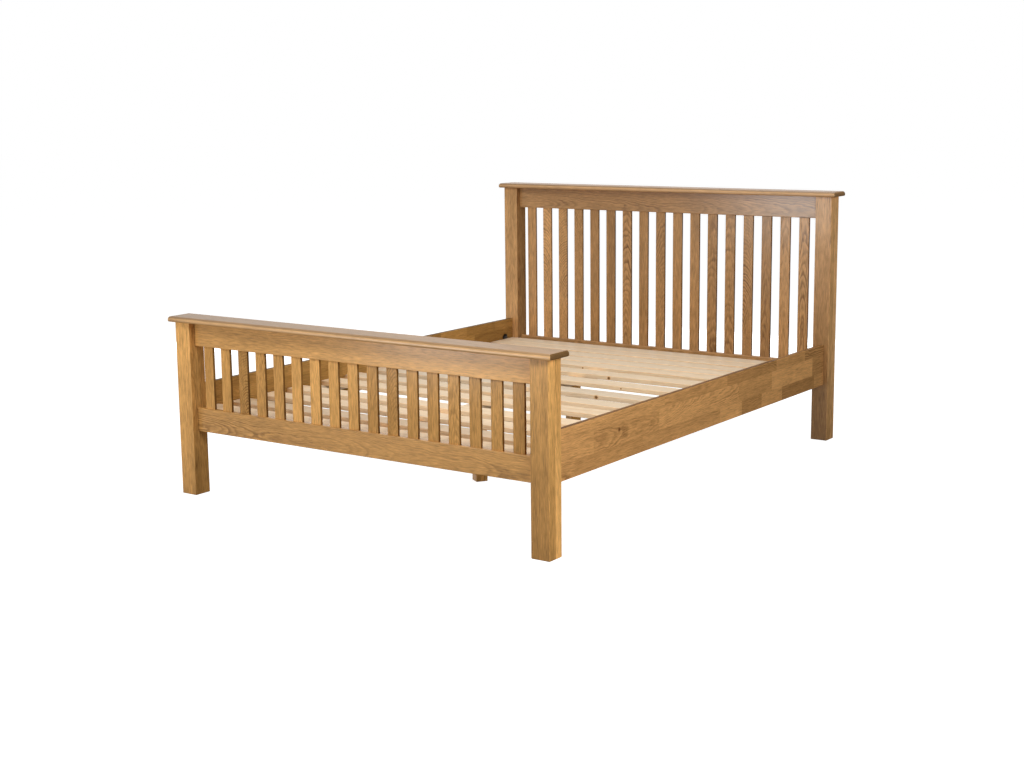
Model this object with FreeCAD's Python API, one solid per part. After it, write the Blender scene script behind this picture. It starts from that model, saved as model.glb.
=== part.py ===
# Slatted oak bedstead for a 1500 by 2000 mm mattress, with a pine slat base on a centre rail.
# Millimetres. X runs across the bed, Y from the foot (-Y) to the head (+Y), Z up from the floor.
# The origin is on the floor under the middle of the bed. Left and right are as seen from the foot.
import FreeCAD, Part
import math
import os

V = FreeCAD.Vector
ACROSS = V(1, 0, 0)
ALONG = V(0, 1, 0)
UP = V(0, 0, 1)

# Mattress and the room that the frame leaves around it
MATTRESS_WIDTH = 1500.0
MATTRESS_LENGTH = 2000.0
MATTRESS_SIDE_ROOM = 18.0
MATTRESS_END_ROOM = 1.0

# Posts
POST_SIDE = 70.0
HEAD_POST_HEIGHT = 1006.0
FOOT_POST_HEIGHT = 636.0
POST_EASE = 2.5
POST_FOOT_CHAMFER = 2.0
POST_TENON_SIDE = 40.0
POST_TENON_HEIGHT = 10.0

# Caps along the tops of the two ends
CAP_THICKNESS = 20.0
CAP_OVERHANG = 20.0
CAP_NOSE_RADIUS = 9.0

# Rails of the head and foot frames
END_RAIL_THICKNESS = 22.0
END_RAIL_EASE = 1.5
HEAD_TOP_RAIL_HEIGHT = 90.0
FOOT_TOP_RAIL_HEIGHT = 87.0
BOTTOM_RAIL_HEIGHT = 86.0
BOTTOM_RAIL_FLOOR_GAP = 236.0
RAIL_TENON_LENGTH = 30.0
RAIL_TENON_THICKNESS = 12.0
RAIL_TENON_SHOULDER = 12.0

# Upright spindles between those rails
SPINDLE_COUNT = 17
SPINDLE_WIDTH = 45.0
SPINDLE_THICKNESS = 10.0
SPINDLE_EASE = 1.5
SPINDLE_TENON_LENGTH = 12.0
SPINDLE_TENON_SHOULDER = 2.0

# Side rails
SIDE_RAIL_THICKNESS = 20.0
SIDE_RAIL_HEIGHT = 168.0
SIDE_RAIL_FLOOR_GAP = 232.5
SIDE_RAIL_INSET = 20.0
SIDE_RAIL_EASE = 2.0

# Bolted joint between a side rail and a post
STUD_RADIUS = 4.0
STUD_PAST_NUT = 4.0
STUD_HOLE_ROOM = 0.5
POCKET_RADIUS = 22.0
POCKET_DEPTH = 17.0
POCKET_SETBACK = 62.0
WASHER_SEAT = 11.0
WASHER_DEPTH = 13.0
WASHER_HALF_HEIGHT = 14.0
NUT_ACROSS_FLATS = 13.0
NUT_THICKNESS = 6.5
INSERT_RADIUS = 6.0
INSERT_LENGTH = 20.0

# Grooved dowels that keep a side rail in line with its post
DOWEL_RADIUS = 5.0
DOWEL_RIDGES = 12
DOWEL_LENGTH = 30.0
DOWEL_SPREAD = 55.0

# Pine boards, from the head to the foot, and what carries them
SLAT_WIDTH = 88.0
SLAT_THICKNESS = 18.0
SLAT_EASE = 2.0
SLAT_TOP = 312.0
SLAT_SIDE_ROOM = 3.0
SLAT_END_ROOM = 2.0
SLAT_GAP_SHARES = (6, 26, 19, 15, 62, 104, 104, 75, 55, 109, 67, 72, 52)
LEDGER_WIDTH = 25.0
LEDGER_HEIGHT = 32.0
LEDGER_END_ROOM = 5.0
LEDGER_EASE = 2.0
CENTRE_RAIL_WIDTH = 65.0
CENTRE_RAIL_THICKNESS = 25.0
CENTRE_RAIL_END_ROOM = 1.0
CENTRE_RAIL_EASE = 2.0
CLEAT_DEPTH = 40.0
CLEAT_HEIGHT = 30.0

# Screw-in legs under the centre rail, each turned on its bolt as it was left
LEG_SIDE = 45.0
LEG_SPACING = 650.0
LEG_EASE = 2.0
LEG_FOOT_CHAMFER = 1.5
LEG_HEAD_GAP = 0.3
LEG_FRONT_TURN = -33.0
LEG_REAR_TURN = -25.0
HANGER_RADIUS = 4.0
HANGER_DEPTH_IN_LEG = 40.0

# Fits
GLUE_GAP = 0.1
MORTISE_SPARE = 1.0
THREAD_GAP = 0.05

# Planes that follow from those sizes
rail_inner_x = MATTRESS_WIDTH / 2 + MATTRESS_SIDE_ROOM
rail_outer_x = rail_inner_x + SIDE_RAIL_THICKNESS
stud_x = (rail_inner_x + rail_outer_x) / 2
post_outer_x = rail_outer_x + SIDE_RAIL_INSET
post_inner_x = post_outer_x - POST_SIDE
post_x = (post_inner_x + post_outer_x) / 2
post_inner_y = MATTRESS_LENGTH / 2 + MATTRESS_END_ROOM
post_outer_y = post_inner_y + POST_SIDE
end_y = (post_inner_y + post_outer_y) / 2
end_rail_inner_y = end_y - END_RAIL_THICKNESS / 2
bottom_rail_top = BOTTOM_RAIL_FLOOR_GAP + BOTTOM_RAIL_HEIGHT
stud_z = SIDE_RAIL_FLOOR_GAP + SIDE_RAIL_HEIGHT / 2
pocket_y = post_inner_y - POCKET_SETBACK
washer_face_y = pocket_y + WASHER_SEAT
slat_underside = SLAT_TOP - SLAT_THICKNESS
centre_rail_underside = slat_underside - CENTRE_RAIL_THICKNESS
leg_top = centre_rail_underside - LEG_HEAD_GAP

LEFT_RIGHT = {"left": -1, "right": 1}
FOOT_HEAD = {"foot": -1, "head": 1}
ENDS = {
    "head": {"post": HEAD_POST_HEIGHT, "top_rail": HEAD_TOP_RAIL_HEIGHT},
    "foot": {"post": FOOT_POST_HEIGHT, "top_rail": FOOT_TOP_RAIL_HEIGHT},
}


def block(low, high):
    """Box between two corners, given in any order."""
    corner = V(*[min(a, b) for a, b in zip(low, high)])
    sides = [abs(b - a) for a, b in zip(low, high)]
    return Part.makeBox(*sides, corner)


def rod(start, end, radius):
    """Round bar or round hole from one point to another."""
    return Part.makeCylinder(radius, (end - start).Length, start, end - start)


def regular_bar(x, z, start, end, corner_radius, sides):
    """Bar along Y between two places, whose section is a regular polygon with upright flats."""
    angles = [2 * math.pi * (k + 0.5) / sides for k in range(sides)]
    corners = [V(x + corner_radius * math.cos(a), start, z + corner_radius * math.sin(a)) for a in angles]
    return Part.Face(Part.makePolygon(corners + corners[:1])).extrude(V(0, end - start, 0))


def straight_edges(shape, direction):
    """The straight edges of a shape that run along one direction."""
    return [e for e in shape.Edges if isinstance(e.Curve, Part.Line)
            and abs(e.Curve.Direction.dot(direction)) > 0.999]


def edges_at_height(shape, height):
    """The edges of a shape that lie level at one height."""
    return [e for e in shape.Edges if abs(e.BoundBox.ZMin - height) < 1e-6
            and abs(e.BoundBox.ZMax - height) < 1e-6]


def eased(shape, direction, arris):
    """The shape with the arrises taken off its long edges, by this much."""
    return shape.makeChamfer(arris, straight_edges(shape, direction))


def cut_away(shape, tools):
    """The shape with every tool taken out of it."""
    return shape.cut(Part.makeCompound(tools)).removeSplitter()


def joined(shape, pieces):
    """One solid from a body and what is worked on its ends."""
    return shape.fuse(pieces).removeSplitter()


def spindle_places():
    """Middles of the spindles across an end frame, with equal gaps between them and the posts."""
    clear = 2 * post_inner_x - SPINDLE_COUNT * SPINDLE_WIDTH
    pitch = SPINDLE_WIDTH + clear / (SPINDLE_COUNT + 1)
    return [(i - (SPINDLE_COUNT - 1) / 2) * pitch for i in range(SPINDLE_COUNT)]


def slat_places():
    """Front and back edges of the boards, spread along the base in the shares of their gaps."""
    back = post_inner_y - SLAT_END_ROOM
    boards = len(SLAT_GAP_SHARES) + 1
    free = 2 * back - boards * SLAT_WIDTH
    gaps = [free * share / sum(SLAT_GAP_SHARES) for share in SLAT_GAP_SHARES]
    places = []
    for gap in gaps + [0]:
        places.append((back - SLAT_WIDTH, back))
        back -= SLAT_WIDTH + gap
    return places


def tenon_core(x, y, spare=0.0):
    """Half sizes and middle of a spindle's tenon in plan, with room added for its mortise."""
    half_x = SPINDLE_WIDTH / 2 - SPINDLE_TENON_SHOULDER + spare
    half_y = SPINDLE_THICKNESS / 2 - SPINDLE_TENON_SHOULDER + spare
    return (x - half_x, y - half_y), (x + half_x, y + half_y)


def spindle(x, y, low, high):
    """Upright slat with eased edges and a stub tenon at each end."""
    half_x = SPINDLE_WIDTH / 2
    half_y = SPINDLE_THICKNESS / 2
    body = eased(block((x - half_x, y - half_y, low), (x + half_x, y + half_y, high)), UP, SPINDLE_EASE)
    a, b = tenon_core(x, y)
    tenon = block((*a, low - SPINDLE_TENON_LENGTH), (*b, high + SPINDLE_TENON_LENGTH))
    return joined(body, [tenon])


def spindle_mortises(y, edge, inward):
    """Holes for the spindles in the edge of a rail; inward is the way into the wood, up or down."""
    deep = edge + inward * (SPINDLE_TENON_LENGTH + MORTISE_SPARE)
    return [block((*a, edge), (*b, deep))
            for a, b in (tenon_core(x, y, GLUE_GAP) for x in spindle_places())]


def rail_tenon(side_x, y, low, high, spare=0.0, end_spare=0.0):
    """Tenon on the end of an end rail, or with room added, its mortise in the post."""
    half_y = RAIL_TENON_THICKNESS / 2 + spare
    inset = RAIL_TENON_SHOULDER - spare
    tip = post_inner_x + RAIL_TENON_LENGTH + end_spare
    return block((side_x * post_inner_x, y - half_y, low + inset), (side_x * tip, y + half_y, high - inset))


def end_rail(y, low, high, mortised_edge, inward):
    """Rail of an end frame: tenons into both posts and a row of mortises in one edge."""
    half_y = END_RAIL_THICKNESS / 2
    body = block((-post_inner_x, y - half_y, low), (post_inner_x, y + half_y, high))
    body = eased(body, ACROSS, END_RAIL_EASE)
    body = joined(body, [rail_tenon(side_x, y, low, high) for side_x in LEFT_RIGHT.values()])
    return cut_away(body, spindle_mortises(y, mortised_edge, inward))


def post_tenon(side_x, y, height, spare=0.0, end_spare=0.0):
    """Square stub tenon on the top of a post, or with room added, its mortise in the cap."""
    x = side_x * post_x
    half = POST_TENON_SIDE / 2 + spare
    tip = height + POST_TENON_HEIGHT + end_spare
    return block((x - half, y - half, height), (x + half, y + half, tip))


def rail_dowels(side_x, side_y, spare=0.0, end_spare=0.0):
    """The two level dowels between a side rail and a post, or with room added, their holes."""
    reach = DOWEL_LENGTH / 2 + end_spare
    start = side_y * (post_inner_y - reach)
    end = side_y * (post_inner_y + reach)
    return [regular_bar(side_x * stud_x, z, start, end, DOWEL_RADIUS + spare, DOWEL_RIDGES)
            for z in (stud_z - DOWEL_SPREAD, stud_z + DOWEL_SPREAD)]


def along_stud(side_x, side_y, start, end, radius):
    """Round bar on the line of a corner's stud, between two distances from the middle of the bed."""
    line = [V(side_x * stud_x, side_y * y, stud_z) for y in (start, end)]
    return rod(*line, radius)


def post(side_x, side_y, height, top_rail_height):
    """Square leg post, mortised for its end rails and drilled for the side rail's insert and dowels."""
    body = block((side_x * post_inner_x, side_y * post_inner_y, 0),
                 (side_x * post_outer_x, side_y * post_outer_y, height))
    body = eased(body, UP, POST_EASE)
    body = body.makeChamfer(POST_FOOT_CHAMFER, edges_at_height(body, 0))
    y = side_y * end_y
    body = joined(body, [post_tenon(side_x, y, height)])
    rails = [(BOTTOM_RAIL_FLOOR_GAP, bottom_rail_top), (height - top_rail_height, height)]
    holes = [rail_tenon(side_x, y, low, high, GLUE_GAP, MORTISE_SPARE) for low, high in rails]
    hole_end = post_inner_y + INSERT_LENGTH + MORTISE_SPARE
    holes.append(along_stud(side_x, side_y, post_inner_y, hole_end, INSERT_RADIUS + GLUE_GAP))
    holes += rail_dowels(side_x, side_y, GLUE_GAP, MORTISE_SPARE)
    return cut_away(body, holes)


def cap(y, underside):
    """Board that lies along the top of an end frame, with all its edges worked to a bull nose."""
    half_x = post_outer_x + CAP_OVERHANG
    half_y = POST_SIDE / 2 + CAP_OVERHANG
    top = underside + CAP_THICKNESS
    body = block((-half_x, y - half_y, underside), (half_x, y + half_y, top))
    body = body.makeFillet(CAP_NOSE_RADIUS, edges_at_height(body, underside) + edges_at_height(body, top))
    return cut_away(body, [post_tenon(side_x, y, underside, GLUE_GAP, MORTISE_SPARE)
                           for side_x in LEFT_RIGHT.values()])


def bolt_pocket(side_x, side_y, radius, near, far):
    """Round recess, or a disc for it, on the inner face of a side rail between two depths."""
    line = [V(side_x * x, side_y * pocket_y, stud_z) for x in (near, far)]
    return rod(*line, radius)


def side_rail(side_x):
    """Deep board between a head and a foot post, drilled and pocketed at both ends for its studs."""
    low = SIDE_RAIL_FLOOR_GAP
    body = block((side_x * rail_inner_x, -post_inner_y, low),
                 (side_x * rail_outer_x, post_inner_y, low + SIDE_RAIL_HEIGHT))
    body = eased(body, ALONG, SIDE_RAIL_EASE)
    holes = []
    for side_y in FOOT_HEAD.values():
        holes.append(bolt_pocket(side_x, side_y, POCKET_RADIUS, rail_inner_x, rail_inner_x + POCKET_DEPTH))
        holes.append(along_stud(side_x, side_y, pocket_y, post_inner_y, STUD_RADIUS + STUD_HOLE_ROOM))
        holes += rail_dowels(side_x, side_y, GLUE_GAP, MORTISE_SPARE)
    return cut_away(body, holes)


def half_moon_washer(side_x, side_y):
    """Washer that is round against the wall of its pocket and flat under its nut."""
    half_depth = WASHER_DEPTH / 2
    disc = bolt_pocket(side_x, side_y, POCKET_RADIUS - GLUE_GAP, stud_x - half_depth, stud_x + half_depth)
    keep = block((side_x * (stud_x - half_depth), side_y * washer_face_y, stud_z - WASHER_HALF_HEIGHT),
                 (side_x * (stud_x + half_depth), side_y * post_inner_y, stud_z + WASHER_HALF_HEIGHT))
    hole = along_stud(side_x, side_y, pocket_y, post_inner_y, STUD_RADIUS + STUD_HOLE_ROOM)
    return cut_away(disc.common(keep), [hole])


def stud_nut(side_x, side_y):
    """Hexagon nut on a stud, with two of its flats upright."""
    corner_radius = NUT_ACROSS_FLATS / 2 / math.cos(math.pi / 6)
    start = side_y * (washer_face_y - NUT_THICKNESS)
    prism = regular_bar(side_x * stud_x, stud_z, start, side_y * washer_face_y, corner_radius, 6)
    return cut_away(prism, [along_stud(side_x, side_y, pocket_y, post_inner_y, STUD_RADIUS + THREAD_GAP)])


def stud(side_x, side_y):
    """Bed bolt from the end of its insert in the post to just past its nut."""
    tip = washer_face_y - NUT_THICKNESS - STUD_PAST_NUT
    return along_stud(side_x, side_y, tip, post_inner_y + INSERT_LENGTH, STUD_RADIUS)


def insert_nut(mouth, inward, thread_radius):
    """Threaded sleeve sunk into the wood, from its mouth inwards."""
    end = mouth + inward * INSERT_LENGTH
    return rod(mouth, end, INSERT_RADIUS).cut(rod(mouth, end, thread_radius + THREAD_GAP))


def slat(front, back):
    """One pine board of the base."""
    half_x = rail_inner_x - SLAT_SIDE_ROOM
    return eased(block((-half_x, front, slat_underside), (half_x, back, SLAT_TOP)), ACROSS, SLAT_EASE)


def slat_ledger(side_x):
    """Batten along the inside of a side rail that the boards lie on."""
    half_y = post_inner_y - LEDGER_END_ROOM
    body = block((side_x * (rail_inner_x - LEDGER_WIDTH), -half_y, slat_underside - LEDGER_HEIGHT),
                 (side_x * rail_inner_x, half_y, slat_underside))
    return eased(body, ALONG, LEDGER_EASE)


def centre_rail(leg_places):
    """Flat batten under the middle of the boards, drilled for the inserts of the legs' bolts."""
    half_x = CENTRE_RAIL_WIDTH / 2
    half_y = end_rail_inner_y - CENTRE_RAIL_END_ROOM
    body = eased(block((-half_x, -half_y, centre_rail_underside), (half_x, half_y, slat_underside)),
                 ALONG, CENTRE_RAIL_EASE)
    depth = UP * (INSERT_LENGTH + MORTISE_SPARE)
    mouths = [V(0, y, centre_rail_underside) for y in leg_places]
    return cut_away(body, [rod(mouth, mouth + depth, INSERT_RADIUS + GLUE_GAP) for mouth in mouths])


def cleat(side_y):
    """Block on the inside of a bottom rail that carries an end of the centre rail."""
    half_x = CENTRE_RAIL_WIDTH / 2
    body = block((-half_x, side_y * (end_rail_inner_y - CLEAT_DEPTH), centre_rail_underside - CLEAT_HEIGHT),
                 (half_x, side_y * end_rail_inner_y, centre_rail_underside))
    return eased(body, ALONG, CENTRE_RAIL_EASE)


def turned(shape, y, degrees):
    """A leg's shape turned on the line of its bolt."""
    shape.rotate(V(0, y, 0), UP, degrees)
    return shape


def centre_leg(y, degrees):
    """Square leg, drilled from above for its bolt."""
    half = LEG_SIDE / 2
    body = eased(block((-half, y - half, 0), (half, y + half, leg_top)), UP, LEG_EASE)
    body = body.makeChamfer(LEG_FOOT_CHAMFER, edges_at_height(body, 0))
    hole_foot = V(0, y, leg_top - HANGER_DEPTH_IN_LEG - MORTISE_SPARE)
    body = cut_away(body, [rod(hole_foot, V(0, y, leg_top), HANGER_RADIUS + THREAD_GAP)])
    return turned(body, y, degrees)


def hanger_bolt(y):
    """Headless bolt, with one end in a leg and the other in the centre rail's insert."""
    tip = V(0, y, centre_rail_underside + INSERT_LENGTH)
    return rod(V(0, y, leg_top - HANGER_DEPTH_IN_LEG), tip, HANGER_RADIUS)


def end_frame(name):
    """Nodes of the head or foot frame: posts, cap, two rails and the spindles between them."""
    side_y = FOOT_HEAD[name]
    height = ENDS[name]["post"]
    top_rail_height = ENDS[name]["top_rail"]
    top_rail_low = height - top_rail_height
    y = side_y * end_y
    made = {f"{name}_post_{side}": post(side_x, side_y, height, top_rail_height)
            for side, side_x in LEFT_RIGHT.items()}
    made[f"{name}_cap"] = cap(y, height)
    made[f"{name}_top_rail"] = end_rail(y, top_rail_low, height, top_rail_low, 1)
    made[f"{name}_bottom_rail"] = end_rail(y, BOTTOM_RAIL_FLOOR_GAP, bottom_rail_top, bottom_rail_top, -1)
    for i, x in enumerate(spindle_places(), 1):
        made[f"{name}_spindle_{i:02d}"] = spindle(x, y, bottom_rail_top, top_rail_low)
    return made


def bedstead():
    """All the nodes, by name."""
    nodes = {}
    for name in ENDS:
        nodes.update(end_frame(name))
    for side, side_x in LEFT_RIGHT.items():
        nodes[f"side_rail_{side}"] = side_rail(side_x)
        nodes[f"slat_ledger_{side}"] = slat_ledger(side_x)
    legs = {"front": (-LEG_SPACING / 2, LEG_FRONT_TURN), "rear": (LEG_SPACING / 2, LEG_REAR_TURN)}
    leg_places = [y for y, degrees in legs.values()]
    nodes["base_slats"] = Part.makeCompound([slat(*edges) for edges in slat_places()])
    nodes["centre_rail"] = centre_rail(leg_places)
    nodes["centre_rail_cleats"] = Part.makeCompound([cleat(side_y) for side_y in FOOT_HEAD.values()])
    for place, (y, degrees) in legs.items():
        nodes[f"centre_leg_{place}"] = centre_leg(y, degrees)
        nodes[f"hanger_bolt_{place}"] = hanger_bolt(y)
    corners = [(side_x, side_y) for side_x in LEFT_RIGHT.values() for side_y in FOOT_HEAD.values()]
    nodes["bed_studs"] = Part.makeCompound([stud(*corner) for corner in corners])
    nodes["half_moon_washers"] = Part.makeCompound([half_moon_washer(*corner) for corner in corners])
    nodes["stud_nuts"] = Part.makeCompound([stud_nut(*corner) for corner in corners])
    inserts = [insert_nut(V(side_x * stud_x, side_y * post_inner_y, stud_z), ALONG * side_y, STUD_RADIUS)
               for side_x, side_y in corners]
    inserts += [insert_nut(V(0, y, centre_rail_underside), UP, HANGER_RADIUS) for y in leg_places]
    nodes["insert_nuts"] = Part.makeCompound(inserts)
    nodes["dowels"] = Part.makeCompound([dowel for corner in corners for dowel in rail_dowels(*corner)])
    return nodes


os.makedirs("parts", exist_ok=True)
for node, shape in bedstead().items():
    shape.exportStep(f"parts/{node}.step")
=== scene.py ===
"""Looks of a slatted oak bedstead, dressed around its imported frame.

Metres throughout. X runs across the bed, Y from the foot to the head and Z up from the floor.
Left and right are as seen from the foot.
"""
import logging
import math
import random
from dataclasses import dataclass, replace
from enum import Enum
from typing import Any, Callable, Sequence

import bmesh
import bpy
from bmesh.types import BMesh
from bpy.types import ID, Material, Mesh, Node, NodeSocket as Socket, NodeTree, Object
from mathutils import Matrix, Vector

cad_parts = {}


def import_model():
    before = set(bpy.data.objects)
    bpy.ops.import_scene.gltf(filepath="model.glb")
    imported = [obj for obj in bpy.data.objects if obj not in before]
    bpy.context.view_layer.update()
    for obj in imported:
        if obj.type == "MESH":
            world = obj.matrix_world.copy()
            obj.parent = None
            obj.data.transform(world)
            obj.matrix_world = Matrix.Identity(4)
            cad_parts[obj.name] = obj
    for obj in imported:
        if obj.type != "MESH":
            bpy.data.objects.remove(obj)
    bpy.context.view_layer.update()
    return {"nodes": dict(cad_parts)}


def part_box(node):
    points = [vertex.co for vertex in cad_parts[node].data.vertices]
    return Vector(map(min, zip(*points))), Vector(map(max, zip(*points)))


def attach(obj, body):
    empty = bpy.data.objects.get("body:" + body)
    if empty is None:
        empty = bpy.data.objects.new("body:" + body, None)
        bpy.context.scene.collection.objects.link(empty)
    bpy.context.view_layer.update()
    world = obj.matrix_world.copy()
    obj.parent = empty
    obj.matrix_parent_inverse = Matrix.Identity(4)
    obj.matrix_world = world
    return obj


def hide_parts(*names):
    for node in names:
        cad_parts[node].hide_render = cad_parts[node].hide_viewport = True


LOG = logging.getLogger("bedstead")
FRAME_BODY = "bed_frame"
PHOTO_WIDTH = 1024
PHOTO_HEIGHT = 768

# How much of a normal lies along an axis before its face counts as looking that way
FACE_LEAN = 0.6
# How far a normal leans before its face counts as looking upwards or downwards at all
LEVEL_LEAN = 0.05
# How many radii away the knot is on a stick that has none, and the least radius that is divided by
NO_KNOT = 99.0
LEAST_KNOT = 0.00001
# How close two corners are that count as one
SAME_PLACE = 1e-6
# How many steps the rounding of a stick's edges has
EDGE_STEPS = 3

Colour = tuple[float, float, float, float]
Box = tuple[Vector, Vector]

WHITE: Colour = (1.0, 1.0, 1.0, 1.0)


def paint(*screen: int) -> Colour:
    """A colour made ready for a shader.

    Args:
        screen: Red, green and blue as they look on a screen, 0 to 255.

    Returns:
        The colour in linear light, with full alpha.
    """
    shares = [value / 255 for value in screen]
    linear = [s / 12.92 if s <= 0.04045 else ((s + 0.055) / 1.055) ** 2.4 for s in shares]
    return (*linear, 1.0)


class Lie(Enum):
    """How a stick lies: the axes of its thickness, its width and its fibres."""

    UPRIGHT = (1, 0, 2)
    END_RAIL = (1, 2, 0)
    SIDE_RAIL = (0, 2, 1)
    FLAT_ACROSS = (2, 1, 0)
    FLAT_ALONG = (2, 0, 1)


class Sawn(Enum):
    """How a stick was sawn: the share of the way to the pith along its thickness and its width."""

    HEART = (1.0, 0.05)
    FLAT = (1.0, 0.35)
    RIFT = (0.7, 0.7)
    QUARTER = (0.15, 1.0)


HEART, FLAT, RIFT, QUARTER = Sawn


@dataclass(frozen=True)
class Look:
    """How one stick looks.

    Attributes:
        tone: How light it is, in steps of about a stop; a finish may turn that round.
        sawn: How it was sawn.
        figure: How strongly its rings show.
        slope: How far its rings lean out of its length, which draws them out into arches.
        flank: How many steps its faces to the left and right are below its tone.
        upper: The same for its upper face, as painted shade on the top.
        under: The same, as painted shade, for its faces that don't look upwards at all; in a row, for its
            narrow faces, where on pine boards it trims their painted light.
        drift: How far its tone rises in each metre of its length.
        knot: Its knot: the place along the stick, the place across it and the radius.
        bow: How far its middle has risen above its ends.
    """

    tone: float = 0.0
    sawn: Sawn = RIFT
    figure: float = 0.5
    slope: float = 0.02
    flank: float = 0.0
    upper: float = 0.0
    under: float = 0.0
    drift: float = 0.0
    knot: tuple[float, float, float] = (0.0, 0.0, 0.0)
    bow: float = 0.0


@dataclass(frozen=True)
class Stick:
    """One stick of timber and its place in the log it was cut from."""

    middle: Vector
    lie: Lie
    log: Vector
    look: Look

    def inside(self, point: Vector) -> Vector:
        """The places of a point along the thickness, the width and the length of the stick."""
        place = point - self.middle
        return Vector([place[axis] for axis in self.lie.value])

    def grain(self, point: Vector) -> Vector:
        """A point's place from the pith of the log: along the thickness, the width and the fibres."""
        place = self.inside(point)
        return self.log + place + Vector((self.look.slope * place.z, 0, 0))

    def from_knot(self, point: Vector) -> Vector:
        """How many radii a point is from the stick's knot.

        Args:
            point: The point in the frame.

        Returns:
            The way along the stick, across it and through it, or a long way where there is no knot.
        """
        along, across, radius = self.look.knot
        if not radius:
            return Vector((NO_KNOT, NO_KNOT, NO_KNOT))
        place = self.inside(point)
        return Vector(((place.z - along) / radius, (place.y - across) / radius, 0))

    def tone(self, point: Vector) -> float:
        """The stick's tone at a point."""
        return self.look.tone + self.look.drift * self.inside(point).z

    def gloss(self, normal: Vector) -> float:
        """The share of the polish on a face of the stick: none on its flanks and undersides."""
        return 0.0 if abs(normal.x) > FACE_LEAN or normal.z < -LEVEL_LEAN else 1.0

    def shade(self, normal: Vector) -> float:
        """How far a face of the stick is below its tone, with painted shade on its upper face and on faces
        that don't look upwards.

        Args:
            normal: The face's normal.

        Returns:
            The steps below its tone.
        """
        if abs(normal.x) > FACE_LEAN:
            return self.look.flank
        if normal.z > FACE_LEAN:
            return self.look.upper
        return self.look.under if normal.z < LEVEL_LEAN else 0.0


@dataclass
class TimberYard:
    """Deals out sticks that each come from a place of their own in a log, the same ones on every run."""

    seed: int
    nearest_pith: float = 0.04
    farthest_pith: float = 0.12
    log_reach: float = 60.0

    def __post_init__(self) -> None:
        """Starts the draw from its seed."""
        self.draw = random.Random(self.seed)

    def stick(self, middle: Vector, lie: Lie, look: Look) -> Stick:
        """A stick for one place.

        Args:
            middle: Its middle in the frame.
            lie: How it lies.
            look: How it looks.

        Returns:
            The stick.
        """
        away = self.draw.uniform(self.nearest_pith, self.farthest_pith)
        through, wide = look.sawn.value
        side = self.draw.choice((-1, 1))
        log = Vector((away * through, side * away * wide, self.draw.uniform(0, self.log_reach)))
        return Stick(middle, lie, log, look)


@dataclass(frozen=True)
class Noise:
    """Noise in a material: its bumps to the metre in three directions, and its finer layers."""

    stretch: tuple[float, float, float]
    detail: float = 2.0


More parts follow.
